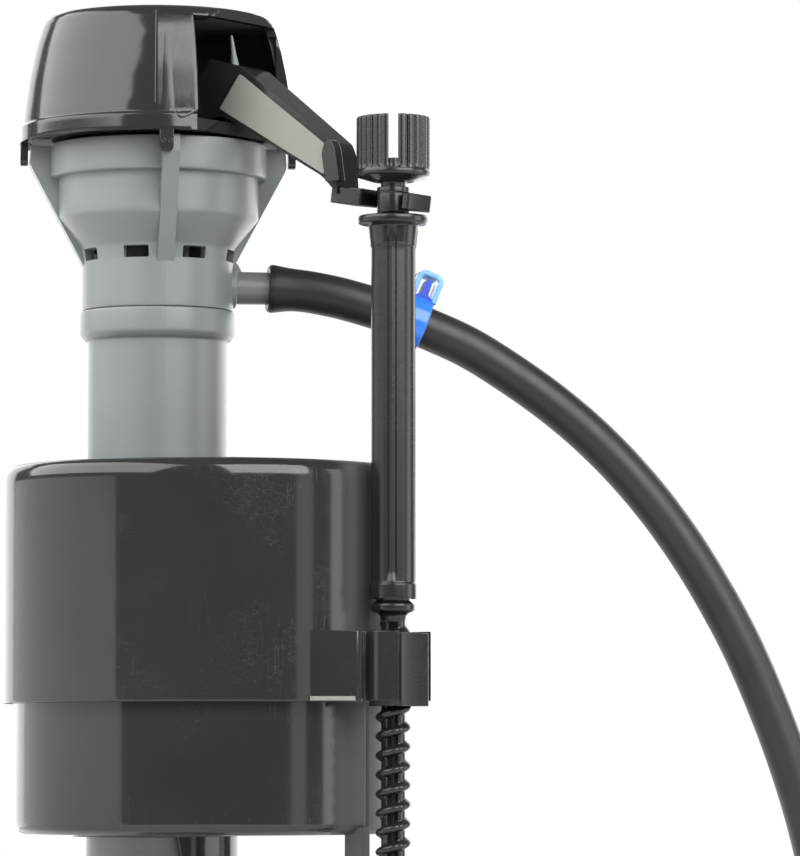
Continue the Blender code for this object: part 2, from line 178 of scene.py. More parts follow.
def capped(points, faces, rows, cols):
    """Adds an end face to the first and last ring of an open tube."""
    last = (rows - 1) * cols
    ends = [list(range(cols))[::-1], list(range(last, last + cols))]
    return points, [list(f) for f in faces] + ends


def swept(path, side, outline, flare=None):
    """An outline of (across, up) carried along a path that lies in one plane:
    P = path + across * side + up * (side x tangent)."""
    path = np.asarray(path, float)
    side = np.asarray(side, float) / np.linalg.norm(side)
    tangent = np.gradient(path, axis=0)
    tangent /= np.linalg.norm(tangent, axis=1, keepdims=True)
    up = np.cross(side, tangent)
    outline = np.asarray(outline, float)[None] * (
        np.ones(len(path)) if flare is None else flare)[:, None, None]
    points = (path[:, None] + outline[..., :1] * side
              + outline[..., 1:] * up[:, None])
    return capped(points.reshape(-1, 3), quads(len(path), outline.shape[1]),
                  len(path), outline.shape[1])


def circle(radius, sides):
    """Outline of a round bar."""
    turn = np.linspace(0, 2 * np.pi, sides, endpoint=False)
    return np.stack([radius * np.cos(turn), radius * np.sin(turn)], 1)


def slab(outline, low, high, axis="Z"):
    """A flat outline thickened from `low` to `high`, which may be a pair of arrays
    that give each outline point its own limits."""
    flat = np.asarray(outline, float)
    n = len(flat)
    low, high = low + np.zeros(n), high + np.zeros(n)
    order = {"Z": (0, 1, 2), "Y": (0, 2, 1)}[axis]
    lower = np.zeros((n, 3))
    lower[:, order[0]], lower[:, order[1]] = flat[:, 0], flat[:, 1]
    upper = lower.copy()
    lower[:, order[2]], upper[:, order[2]] = low, high
    walls = quads(2, n)
    return np.vstack([lower, upper]), [list(f) for f in walls] + [
        list(range(n))[::-1], list(range(n, 2 * n))]


def turned_points(points, degrees, offset=(0, 0, 0)):
    """Points turned about +Z, then moved."""
    turn = math.radians(degrees)
    c, s = math.cos(turn), math.sin(turn)
    points = np.asarray(points, float)
    out = points.copy()
    out[:, 0] = c * points[:, 0] - s * points[:, 1]
    out[:, 1] = s * points[:, 0] + c * points[:, 1]
    return out + np.asarray(offset, float)


# ------------------------------------------------------------------ pieces

def new_mesh(name, shape, weld=0.0):
    """Mesh in metres with its faces outward, points closer than `weld` joined."""
    points, faces = shape
    mesh = bpy.data.meshes.new(name)
    mesh.from_pydata((np.asarray(points) * MM).tolist(), [],
                     [list(map(int, f)) for f in faces])
    made = bmesh.new()
    made.from_mesh(mesh)
    if weld:
        bmesh.ops.remove_doubles(made, verts=made.verts, dist=weld)
        bmesh.ops.dissolve_degenerate(made, edges=made.edges, dist=weld)
    bmesh.ops.recalc_face_normals(made, faces=made.faces)
    made.to_mesh(mesh)
    made.free()
    return mesh


def piece(name, shape, body, finish, stands_for=(), bevel=0.0, wall=0.0,
          sharp=35.0, segments=3):
    """One finished object: a mesh in place, its finish, and the body it rides on."""
    mesh = new_mesh(name, shape, WELD)
    mesh.materials.append(finish)
    thing = bpy.data.objects.new(name, mesh)
    bpy.context.scene.collection.objects.link(thing)
    if wall:
        shell = thing.modifiers.new("wall", "SOLIDIFY")
        shell.thickness = wall * MM
        shell.offset = -1.0
    if bevel:
        edge = thing.modifiers.new("edge", "BEVEL")
        edge.width = bevel * MM
        edge.segments = segments
        edge.limit_method = "ANGLE"
        edge.angle_limit = math.radians(sharp)
        edge.harden_normals = False
    mesh.polygons.foreach_set("use_smooth", np.ones(len(mesh.polygons), bool))
    mesh.set_sharp_from_angle(angle=math.radians(sharp))
    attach(thing, body)
    if stands_for:
        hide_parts(*stands_for)
    return thing


def carve(thing, shape):
    """Cuts a closed shape out of a piece and keeps the result as its mesh."""
    tool = bpy.data.objects.new("tool", new_mesh("tool", shape))
    bpy.context.scene.collection.objects.link(tool)
    step = thing.modifiers.new("carve", "BOOLEAN")
    step.operation = "DIFFERENCE"
    step.solver = "EXACT"
    step.object = tool
    graph = bpy.context.evaluated_depsgraph_get()
    result = bpy.data.meshes.new_from_object(thing.evaluated_get(graph))
    thing.modifiers.remove(step)
    thing.data = result
    bpy.data.objects.remove(tool, do_unlink=True)
    result.set_sharp_from_angle(angle=math.radians(35))
    return thing


# --------------------------------------------------------------- materials

def new_group(name, inputs, outputs):
    """Node group with float inputs (name, default) and typed outputs."""
    tree = bpy.data.node_groups.new(name, "ShaderNodeTree")
    for label, value in inputs:
        socket = tree.interface.new_socket(label, in_out="INPUT",
                                           socket_type="NodeSocketFloat")
        socket.default_value = value
    for label, kind in outputs:
        tree.interface.new_socket(label, in_out="OUTPUT", socket_type=kind)
    return tree, tree.nodes.new("NodeGroupInput"), tree.nodes.new("NodeGroupOutput")


def math_node(tree, how, first, second=None, third=None):
    """Result of a sum on numbers or sockets."""
    node = tree.nodes.new("ShaderNodeMath")
    node.operation = how
    for spot, value in zip(node.inputs, (first, second, third)):
        if value is None:
            continue
        if isinstance(value, (int, float)):
            spot.default_value = value
        else:
            tree.links.new(value, spot)
    return node.outputs[0]


def noise(tree, where, scale, detail=3.0, rough=0.5):
    """Noise value, 0 to 1, at those coordinates."""
    node = tree.nodes.new("ShaderNodeTexNoise")
    node.inputs["Detail"].default_value = detail
    node.inputs["Roughness"].default_value = rough
    tree.links.new(where, node.inputs["Vector"])
    if isinstance(scale, (int, float)):
        node.inputs["Scale"].default_value = scale
    else:
        tree.links.new(scale, node.inputs["Scale"])
    return node.outputs["Fac"]


def stretched(tree, scale, turn=(0, 0, 0)):
    """Object coordinates, turned and stretched."""
    where = tree.nodes.new("ShaderNodeTexCoord")
    change = tree.nodes.new("ShaderNodeMapping")
    change.inputs["Scale"].default_value = scale
    change.inputs["Rotation"].default_value = turn
    tree.links.new(where.outputs["Object"], change.inputs["Vector"])
    return change.outputs[0]


def band(tree, value, low, high, invert=False):
    """0 to 1 as value goes from low to high."""
    node = tree.nodes.new("ShaderNodeMapRange")
    node.inputs["From Min"].default_value = low
    node.inputs["From Max"].default_value = high
    node.inputs["To Min"].default_value = 1.0 if invert else 0.0
    node.inputs["To Max"].default_value = 0.0 if invert else 1.0
    tree.links.new(value, node.inputs["Value"])
    return node.outputs[0]


def make_scratch_group():
    """Hair scratches: thin level sets of stretched noise, in three directions."""
    tree, _, out = new_group("hair_scratches", [], [
        ("Mask", "NodeSocketFloat")])
    total = None
    for turn, stretch in (((0.1, 0.2, 0.5), (900, 900, 30)),
                          ((0.9, 0.3, 1.2), (700, 40, 700)),
                          ((0.3, 1.1, 2.2), (45, 800, 800))):
        field = noise(tree, stretched(tree, stretch, turn), 1.0, 2.0)
        off = math_node(tree, "ABSOLUTE", math_node(tree, "SUBTRACT", field, 0.5))
        line = band(tree, off, 0.0, 0.006, invert=True)
        patch = band(tree, noise(tree, stretched(tree, (60, 60, 60), turn), 1.0), 0.5, 0.62)
        line = math_node(tree, "MULTIPLY", line, patch)
        total = line if total is None else math_node(tree, "MAXIMUM", total, line)
    tree.links.new(total, out.inputs["Mask"])
    return tree


def make_moulding_group():
    """Moulded surface: slow waviness, fine orange peel and faint flow streaks."""
    tree, put, out = new_group("moulded_surface", [("Wave", 60.0), ("Peel", 900.0)], [
        ("Height", "NodeSocketFloat"), ("Cloud", "NodeSocketFloat"),
        ("Streak", "NodeSocketFloat")])
    plain = stretched(tree, (1, 1, 1))
    wave = noise(tree, plain, put.outputs["Wave"], 2.0)
    peel = noise(tree, plain, put.outputs["Peel"], 4.0)
    height = math_node(tree, "MULTIPLY_ADD", peel, 0.25, wave)
    tree.links.new(height, out.inputs["Height"])
    tree.links.new(noise(tree, plain, 35.0, 4.0), out.inputs["Cloud"])
    tree.links.new(noise(tree, stretched(tree, (300, 300, 12)), 1.0, 3.0),
                   out.inputs["Streak"])
    return tree


SCRATCHES = make_scratch_group()
MOULDING = make_moulding_group()


def use_group(tree, group, **values):
    """A node that holds the group, with its inputs set."""
    node = tree.nodes.new("ShaderNodeGroup")
    node.node_tree = group
    for label, value in values.items():
        node.inputs[label].default_value = value
    return node


def mixed(tree, share, first, second):
    """Colour mix by a mask."""
    node = tree.nodes.new("ShaderNodeMix")
    node.data_type = "RGBA"
    tree.links.new(share, node.inputs["Factor"])
    for socket, color in ((node.inputs["A"], first), (node.inputs["B"], second)):
        if isinstance(color, tuple):
            socket.default_value = (*color, 1)
        else:
            tree.links.new(color, socket)
    return node.outputs["Result"]


def bumped(tree, height, strength, distance):
    """Normal of a surface with that height on it."""
    node = tree.nodes.new("ShaderNodeBump")
    node.inputs["Strength"].default_value = strength
    node.inputs["Distance"].default_value = distance
    tree.links.new(height, node.inputs["Height"])
    return node.outputs["Normal"]


def plastic(name, dark, light, rough, peel_depth=0.00002, scratched=0.0, wave=60.0,
            seam=False, painted_sheen=False):
    """Moulded plastic: clouded colour, uneven gloss, orange peel, hair scratches."""
    skin = bpy.data.materials.new(name)
    skin.use_nodes = True
    tree = skin.node_tree
    shader = tree.nodes["Principled BSDF"]
    shader.inputs["IOR"].default_value = 1.5
    mould = use_group(tree, MOULDING, Wave=wave)
    cloud = band(tree, mould.outputs["Cloud"], 0.3, 0.7)
    color = mixed(tree, cloud, dark, light)
    spread = math_node(tree, "MULTIPLY_ADD", mould.outputs["Streak"], rough * 0.5,
                       rough * 0.75)
    height = mould.outputs["Height"]
    if scratched:
        mask = use_group(tree, SCRATCHES).outputs["Mask"]
        spread = math_node(tree, "MULTIPLY_ADD", mask, scratched, spread)
        height = math_node(tree, "MULTIPLY_ADD", mask, -0.6 * scratched, height)
    if seam:
        height = math_node(tree, "ADD", height, parting_line(tree))
    # Painted sheen: a lighter colour beside the rod stands in for a reflection, and the
    # roughness there is raised too.
    if painted_sheen:
        sheen_share = painted_sheen_band(tree)
        color = mixed(tree, sheen_share, color, (0.052, 0.052, 0.048))
        spread = math_node(tree, "MULTIPLY_ADD", sheen_share, 0.38, spread)
    tree.links.new(color, shader.inputs["Base Color"])
    tree.links.new(spread, shader.inputs["Roughness"])
    tree.links.new(bumped(tree, height, 0.5, peel_depth), shader.inputs["Normal"])
    return skin


def parting_line(tree):
    """Thin raised line in the plane of the front and back fins."""
    where = tree.nodes.new("ShaderNodeTexCoord")
    split = tree.nodes.new("ShaderNodeSeparateXYZ")
    tree.links.new(where.outputs["Object"], split.inputs[0])
    across = math_node(tree, "ADD", split.outputs["X"], split.outputs["Y"])
    return band(tree, math_node(tree, "ABSOLUTE", across), 0.0, 0.00022, invert=True)


def painted_sheen_band(tree):
    """Dull band of the cup's wall beside the rod, fading out from 9 to 14 degrees, with a
    lighter colour painted on it as sheen.
    """
    where = tree.nodes.new("ShaderNodeTexCoord")
    split = tree.nodes.new("ShaderNodeSeparateXYZ")
    tree.links.new(where.outputs["Object"], split.inputs[0])
    out = math_node(tree, "SUBTRACT", split.outputs["X"], CUP_X * MM)
    turn = math_node(tree, "ARCTAN2", split.outputs["Y"], out)
    beside = band(tree, math_node(tree, "ABSOLUTE", turn), 0.16, 0.24, invert=True)
    return math_node(tree, "MULTIPLY", beside,
                     math_node(tree, "LESS_THAN", out, 0.0397))


def rubber(name, dark, light, rough):
    """Rubber: the plastic's clouding and waviness, finer, deeper and less glossy."""
    skin = plastic(name, dark, light, rough, peel_depth=0.00006, wave=140.0)
    shader = skin.node_tree.nodes["Principled BSDF"]
    shader.inputs["Specular IOR Level"].default_value = 0.45
    return skin


def steel(name):
    """Rolled spring steel with fine brushing."""
    skin = bpy.data.materials.new(name)
    skin.use_nodes = True
    tree = skin.node_tree
    shader = tree.nodes["Principled BSDF"]
    shader.inputs["Metallic"].default_value = 1.0
    grain = noise(tree, stretched(tree, (2500, 2500, 60)), 1.0, 4.0)
    color = mixed(tree, grain, (0.46, 0.46, 0.47), (0.66, 0.66, 0.67))
    tree.links.new(color, shader.inputs["Base Color"])
    tree.links.new(math_node(tree, "MULTIPLY_ADD", grain, 0.2, 0.18),
                   shader.inputs["Roughness"])
    tree.links.new(bumped(tree, grain, 0.3, 0.00003), shader.inputs["Normal"])
    return skin


def clear_plastic(name, dark, light, passing):
    """Tinted, partly see-through plastic for the hose clip."""
    skin = plastic(name, dark, light, 0.16)
    shader = skin.node_tree.nodes["Principled BSDF"]
    shader.inputs["Transmission Weight"].default_value = passing
    shader.inputs["Subsurface Weight"].default_value = 0.15
    shader.inputs["Subsurface Scale"].default_value = 0.002
    return skin


GREY = plastic("grey_moulding", (0.150, 0.163, 0.166), (0.178, 0.194, 0.197), 0.36,
               peel_depth=0.00003, scratched=0.10, seam=True)
CAP_BLACK = plastic("cap_black", (0.016, 0.016, 0.015), (0.021, 0.021, 0.019), 0.12,
                    peel_depth=0.00003, scratched=0.18, wave=90.0)
INSIDE_BLACK = plastic("inside_black", (0.07, 0.07, 0.068), (0.09, 0.09, 0.086), 0.5)
ROD_BLACK = plastic("rod_black", (0.008, 0.008, 0.008), (0.012, 0.012, 0.011), 0.24,
                    peel_depth=0.00004, scratched=0.15, wave=120.0)
# Cup black, with a painted sheen band on the wall beside the rod.
CUP_BLACK = plastic("cup_black", (0.015, 0.015, 0.014), (0.021, 0.021, 0.019), 0.10,
                    peel_depth=0.000035, scratched=0.3, wave=45.0, painted_sheen=True)
HOSE_RUBBER = rubber("hose_rubber", (0.012, 0.012, 0.011), (0.020, 0.020, 0.018), 0.42)
SEAL_RUBBER = rubber("seal_rubber", (0.015, 0.015, 0.015), (0.025, 0.025, 0.025), 0.6)
WHITE = plastic("white_moulding", (0.40, 0.40, 0.38), (0.46, 0.46, 0.44), 0.4)
# Lighter colour for black plastic: a painted sheen on the lever's front face and a painted
# highlight on the lug's lip.
LEVER_PAINTED_SHEEN = plastic("lever_painted_sheen", (0.20, 0.196, 0.175), (0.25, 0.245, 0.22), 0.42,
                      peel_depth=0.00002, scratched=0.1, wave=70.0)
# The clip is one blue plastic, and the loop's paler copy of it is painted light.
CLIP_PAINTED_LIGHT = clear_plastic("clip_painted_light", (0.22, 0.55, 0.90), (0.32, 0.64, 0.95), 0.5)
CLIP_BLUE = clear_plastic("clip_blue", (0.02, 0.17, 0.80), (0.05, 0.26, 0.90), 0.2)
# The tongue's darker copy of the clip's blue is painted shade.
CLIP_PAINTED_SHADE = clear_plastic("clip_painted_shade", (0.01, 0.05, 0.50), (0.02, 0.08, 0.62), 0.15)
STEEL = steel("spring_steel")


# --------------------------------------------------------- head of the valve

def cap_profile():
    """Top, rounded shoulder, flaring wall and rim of the cap."""
    corners = [(0, 228.6), (22.3, 228.6), (24.0, 223.4), (25.5, 216.4), (26.4, 209.5),
               (26.55, 207.3), (27.0, 206.9), (27.0, 203.9)]
    fillets = [0, 2.2, 2.0, 2.0, 1.5, 0.3, 0.25, 0]
    return dense(rounded(corners, fillets, closed=False), 0.8)


def wall_radius(z):
    """Radius of the cap's wall at height z."""
    profile = cap_profile()[::-1]
    return np.interp(z, profile[:, 1], profile[:, 0])


def cut_by_brow(radius, height, angle, limit=BROW_X):
    """Inside the window's sector the radius ends at a straight chord."""
    turn = (np.degrees(angle) + 180) % 360 - 180
    inside = (turn > WINDOW[0] - 0.01) & (turn < WINDOW[1] + 0.01)
    chord = limit / np.maximum(np.cos(np.radians(turn)), 0.5)
    return np.where(inside, np.minimum(radius, chord), radius)


def cap_shell():
    """Turned shell, straight-cut over the window, with the window's faces left out."""
    rows = cap_profile()
    turn = np.unique(np.round(np.r_[np.arange(0, 360, 2.0), WINDOW[0] % 360,
                                    WINDOW[1] % 360, WINDOW[0] % 360 - 0.6,
                                    WINDOW[1] % 360 + 0.6], 4))
    angle = np.radians(turn)[None]
    radius = cut_by_brow(rows[:, :1] + 0 * angle, None, angle)
    points = np.stack([radius * np.cos(angle), radius * np.sin(angle),
                       rows[:, 1:] + 0 * angle], -1)
    faces = quads(len(rows), len(turn))
    middle = points.reshape(-1, 3)[faces].mean(1)
    where = np.degrees(np.arctan2(middle[:, 1], middle[:, 0]))
    opening = ((where > WINDOW[0]) & (where < WINDOW[1]) & (middle[:, 2] < BROW_Z)
               & (np.hypot(middle[:, 0], middle[:, 1]) > 15))
    return points.reshape(-1, 3), faces[~opening]


def cheek_facet():
    """Flat facet beside the window: a ruled surface between two lines of the wall,
    the one at the window standing proud, with a pointed lower end."""
    s, t = np.meshgrid(np.linspace(0, 1, 13), np.linspace(0, 1, 40), indexing="ij")
    low = np.where(s < 0.6, 208.9 - 3.2 * s / 0.6, 205.7 + 2.0 * (s - 0.6) / 0.4)
    z = 227.7 + (low - 227.7) * t
    wall = wall_radius(z)
    left = (wall + 0.10)[..., None] * polar(-52.6)
    right = (wall + 0.60)[..., None] * polar(WINDOW[0] - 0.1)
    points = left * (1 - s[..., None]) + right * s[..., None]
    points[..., 2] = z
    return points.reshape(-1, 3), quads(13, 40, wrap_cols=False)


def build_cap():
    """Shell, floor, facet, pivot ears and pin, and four lock tabs."""
    cap = piece("cap_shell", cap_shell(), "cap", CAP_BLACK,
                ["valve_cap"], bevel=0.3, wall=1.8, sharp=40)
    cap.data.materials.append(INSIDE_BLACK)
    cap.modifiers["wall"].material_offset = 1
    floor = rounded([(0, 206.6), (25.0, 206.6), (25.0, 204.2), (18.1, 204.2),
                     (18.1, 199.5), (0, 199.5)], 0.3, closed=False)

    def short_of_brow(radius, height, angle):
        return cut_by_brow(radius, height, angle, BROW_X - 0.5)

    piece("cap_floor", rings(floor, closed=False, shape=short_of_brow), "cap", CAP_BLACK)
    piece("cap_cheek", cheek_facet(), "cap", CAP_BLACK, bevel=0.25,
          wall=1.5, sharp=40)
    for side in (-1, 1):
        ear = rounded([(5, 206.2), (13, 206.2), (13, 211.5), (11, 213.2), (7, 213.2),
                       (5, 211.5)], 0.8)
        piece("pivot_ear_%d" % (side + 2),
              slab(ear, side * 5.9 - 0.9, side * 5.9 + 0.9, "Y"), "cap", CAP_BLACK,
              bevel=0.2)
    tab = rounded([(-1.35, 199.6), (1.35, 199.6), (1.35, 204.4), (-1.35, 204.4)],
                  [1.2, 1.2, 0.2, 0.2])
    points, faces = slab(tab, 0, 1.5, "Y")
    frame_points = np.stack([points[:, 1] + 25.4, points[:, 0], points[:, 2]], 1)
    for k in range(4):
        piece("lock_tab_%d" % (k + 1),
              (turned_points(frame_points, TAB_ANGLE + 90 * k), faces), "cap",
              CAP_BLACK, bevel=0.25)
    for k in (-1, 1):
        dimple = rings(rounded([(0.22, 0.0), (0.48, 0.0), (0.48, 0.28), (0.22, 0.28)],
                               0.1), 24)
        spot = np.stack([dimple[0][:, 2] + 26.75, dimple[0][:, 0] + 0.62 * k,
                         dimple[0][:, 1] + 201.6], 1)
        piece("tab_dimple_%d" % (k + 2), (turned_points(spot, TAB_ANGLE), dimple[1]), "cap",
              CAP_BLACK)
    pin = rounded([(0, 7.2), (1.3, 7.2), (1.3, -7.2), (0, -7.2)], 0.25, closed=False)
    points, faces = rings(pin, 32, closed=False)
    points = points[:, [0, 2, 1]] + np.array([PIVOT[0], 0, PIVOT[1]])
    piece("pivot_pin", (points, faces), "cap", STEEL, ["lever_pin"])


def valve_body_shape():
    """Stepped and coned body with its chambers, as one ring body."""
    corners = [
        (18.4, 203.6), (21.2, 203.6), (21.2, 197.1), (19.6, 196.9), (19.6, 189.3),
        (15.1, 183.3), (14.7, 180.8), (14.7, 171.3), (12.9, 171.3), (12.9, 190.0),
        (5.3, 190.0), (5.3, 194.5), (6.6, 194.5), (6.6, 192.5), (13.0, 192.5),
        (13.0, 196.3), (15.5, 196.3), (15.5, 199.1), (18.4, 199.1)]
    fillets = [0.3, 0.4, 0.5, 0.3, 0.5, 0.6, 0.5, 0.3] + [0.2] * 11
    return dense(rounded(corners, fillets), 2.0, closed=True)


def fin_shape(angle):
    """Thin web outside the cone, from the rim down to the neck."""
    outline = rounded([(14.0, 178.6), (15.2, 181.0), (25.1, 199.5), (24.9, 203.3),
                       (19.0, 203.3), (18.6, 190.5), (14.0, 184.5)],
                      [0.3, 0.6, 0.8, 0.5, 0.1, 0.1, 0.1])
    points, faces = slab(outline, -1.6, 1.6, "Y")
    return turned_points(points, angle), faces


def build_valve_body():
    """Body with its vents and fins, and the refill nipple."""
    body = piece("body_moulding", rings(valve_body_shape(), 160), "riser", GREY,
                 ["valve_body"])
    for k in range(8):
        window = rounded([(-2.5, 180.7), (2.5, 180.7), (2.5, 183.0), (-2.5, 183.0)],
                         0.25, steps=3)
        points, faces = slab(window, 11.5, 18.0, "Y")
        points = points[:, [1, 0, 2]]
        carve(body, (turned_points(points, 22.5 + 45 * k), faces))
    for k in range(4):
        piece("body_fin_%d" % (k + 1), fin_shape(45 + 90 * k), "riser", GREY,
              bevel=0.3)
    nipple = rounded([(1.7, 13.2), (3.2, 13.2), (3.15, 20.6), (3.15, 23.0), (2.6, 24.0),
                      (1.7, 24.0)], 0.2)
    points, faces = rings(nipple, 48)
    points = points[:, [2, 1, 0]] + np.array([0, 0, NIPPLE_Z])
    piece("refill_nipple", (turned_points(points, NIPPLE_ANGLE), faces), "riser", GREY)
    boss = rounded([(0.0, 13.6), (4.3, 13.6), (4.0, 15.3), (0.0, 15.4)], 0.4,
                   closed=False)
    points, faces = rings(boss[::-1], 48, closed=False)
    points = points[:, [2, 1, 0]] + np.array([0, 0, NIPPLE_Z])
    boss_piece = (turned_points(points, NIPPLE_ANGLE), faces)
    piece("nipple_boss", boss_piece, "riser", GREY)
    gusset = rounded([(14.0, 181.6), (15.6, 180.9), (16.4, 179.4), (16.4, 178.6),
                      (14.0, 178.6)], 0.25, steps=3)
    points, faces = slab(gusset, -0.8, 0.8, "Y")
    piece("nipple_gusset", (turned_points(points, NIPPLE_ANGLE), faces), "riser", GREY,
          bevel=0.2)


def build_riser():
    """Tube with the collar under the neck, and a lead at its lower end."""
    corners = [(11.6, 177.5), (12.6, 177.5), (12.6, 171.2), (15.05, 171.2),
               (15.1, 166.6), (14.2, 165.6), (13.5, 165.3), (13.5, 12.6),
               (11.2, 12.6), (11.2, 17.0), (11.6, 17.6)]
    fillets = [0.2, 0.2, 0.1, 0.5, 0.5, 0.3, 0.4, 0.5, 0.3, 0.2, 0.2]
    piece("riser_moulding", rings(dense(rounded(corners, fillets), 6.0, closed=True),
                                  144), "riser", GREY, ["riser_tube"])


def build_inner_parts():
    """Seal, disc, plunger, seat and supply tube, seen only when parts move."""
    piece("seal_ring", rings(rounded([(6.8, 199.0), (15.2, 199.0), (15.2, 196.6),
                                      (6.8, 196.6)], 0.4), 72), "cap", SEAL_RUBBER,
          ["cap_seal"])
    piece("moving_disc", rings(rounded([(0, 198.3), (6.4, 198.3), (6.4, 196.7),
                                        (0, 196.7)], 0.3, closed=False), 72,
                               closed=False), "seal", SEAL_RUBBER,
          ["seal_disc"])
    piece("valve_plunger", rings(rounded([(0, 208.4), (1.5, 208.4), (1.5, 198.7),
                                          (0, 198.7)], 0.4, closed=False), 40,
                                 closed=False), "plunger", WHITE,
          ["plunger"])
    piece("valve_seat", rings(rounded([(2.4, 195.4), (5.9, 195.4), (5.9, 194.8),
                                       (5.0, 194.8), (5.0, 188.4), (2.4, 188.4)], 0.2),
                              64), "riser", WHITE, ["seat_insert"])
    piece("water_tube", rings(rounded([
        (4.4, 188.1), (6.0, 188.1), (6.0, 23.0), (8.1, 23.0), (8.1, 21.3), (6.0, 21.3),
        (6.0, 16.7), (8.1, 16.7), (8.1, 15.0), (4.4, 15.0)], 0.2), 64), "riser", GREY,
        ["supply_tube"])
    piece("sliding_seal", rings(rounded([(6.3, 21.0), (8.2, 21.0), (7.9, 19.0),
                                         (8.2, 17.0), (6.3, 17.0)], 0.3), 72), "lift",
          SEAL_RUBBER, ["lift_seal"])


# ------------------------------------------------------------ lever and rod

def arm_side(x, near, far):
    """Half-thickness side of the lever: full to x = 24, then tapering."""
    share = np.clip((np.asarray(x, float) - 24.0) / 21.0, 0, 1)
    return near + (far - near) * share


def build_lever():
    """Arm, its front face with a painted sheen, the finger at its end, and the post."""
    outline = rounded([
        (-3.5, 212.2), (4.0, 213.2), (13.4, 215.0), (16.1, 219.2), (23.6, 217.2),
        (44.4, 201.2), (45.4, 199.0), (46.0, 191.0), (43.8, 193.4), (42.4, 194.8),
        (22.0, 206.5), (19.0, 207.9), (13.0, 207.3), (8.0, 207.6), (3.0, 208.4),
        (-3.5, 209.2)],
        [0.5, 1, 0.5, 0.3, 1.0, 0.6, 0.5, 0.3, 0.4, 1, 1, 1, 1, 1, 1, 0.5], steps=4)
    low = arm_side(outline[:, 0], -4.1, -3.0)
    high = arm_side(outline[:, 0], 4.4, 4.0)
    piece("lever_arm", slab(outline, low, high, "Y"), "lever", CAP_BLACK,
          ["lever"], bevel=0.35)
    # The front face is black plastic, and its lighter colour is a painted sheen.
    face = rounded([(23.6, 215.6), (43.6, 200.6), (43.3, 194.9), (18.7, 209.3)],
                   [0.25, 0.5, 0.6, 0.25], steps=4)
    front = arm_side(face[:, 0], -4.5, -3.4)
    piece("lever_face", slab(face, front, front + 0.6, "Y"), "lever", LEVER_PAINTED_SHEEN,
          bevel=0.12)
    finger = rounded([(44.2, 193.4), (47.4, 193.4), (46.4, 200.0), (45.4, 201.6),
                      (44.0, 201.2), (43.2, 199.0)], [0.3, 0.3, 1.2, 1.2, 1.2, 0.9],
                     steps=5)
    piece("lever_finger", slab(finger, -4.4, -2.2, "Y"), "lever", ROD_BLACK,
          bevel=0.5)
    post = rounded([(0.0, 224.2), (0.25, 224.0), (0.5, 220.5), (0.9, 217.6),
                    (0.0, 217.4)], 0.3, closed=False)
    points, faces = rings(post, 24, closed=False)
    points[:, 0] += 19.2 - 0.15 * (points[:, 2] - 217.0)
    piece("lever_post", (points, faces), "lever", GREY)
    build_fork()


def build_fork():
    """Tilted plate, with a mouth towards -Y for the rod's bushing."""
    outline = rounded([(-13.0, -2.5), (-5.8, -2.5), (-5.8, 3.6), (3.9, 3.6),
                       (3.9, -2.5), (5.4, -2.5), (5.4, 5.4), (-13.0, 5.4)],
                      [0.3, 0.6, 3.0, 3.0, 0.3, 0.5, 1.2, 0.4], steps=6)
    points, faces = slab(outline, -1.6, 1.6)
    tilt = math.radians(FORK_TILT)
    x, z = points[:, 0].copy(), points[:, 2].copy()
    points[:, 0] = ROD_X + x * math.cos(tilt) + z * math.sin(tilt)
    points[:, 2] = FORK_Z - x * math.sin(tilt) + z * math.cos(tilt)
    piece("lever_fork", (points, faces), "lever", ROD_BLACK,
          bevel=0.35)


def fluted(radius, height, angle):
    """Knob: r less 0.5 (1 - |sin(12a)|^0.45), flat ribs with grooves between them
    that fade out at the lip."""
    depth = 0.5 * (1 - np.abs(np.sin(12 * angle)) ** 0.45)
    fade = np.clip((height - 195.0) / 0.4, 0, 1) * (radius > 5.5)
    return radius - depth * fade


def channelled(radius, height, angle):
    """Shaft: r less a square groove in each quarter, its floor a low rib."""
    local = np.abs((np.degrees(angle) - FACING + 6 + 45) % 90 - 45)
    groove = np.clip((11.5 - local) / 1.5, 0, 1) - 0.45 * np.clip(1 - local / 7.0, 0, 1)
    inside = np.clip((184.2 - height) / 0.6, 0, 1) * np.clip((height - 117.6) / 0.6, 0, 1)
    return radius - 0.38 * inside * groove


def threaded(radius, height, angle):
    """Round ridge r + h max(0, cos(a - 2 pi z / p))^k, with a pocket sunk between the
    turns on the front and the back."""
    phase = angle - 2 * np.pi * height / ROD_PITCH
    ridge = np.maximum(0, np.cos(phase)) ** 0.65
    local = np.abs((np.degrees(angle) - FACING + 6 + 90) % 180 - 90)
    pocket = np.clip((27 - local) / 5, 0, 1)
    gap = np.clip((0.10 - np.cos(phase)) / 0.25, 0, 1)
    ends = np.clip((110.4 - height) / 2.5, 0, 1) * np.clip((height - 47.2) / 2.5, 0, 1)
    return radius + ends * (1.06 * ridge * (1 - 0.15 * pocket) - 1.25 * pocket * gap)


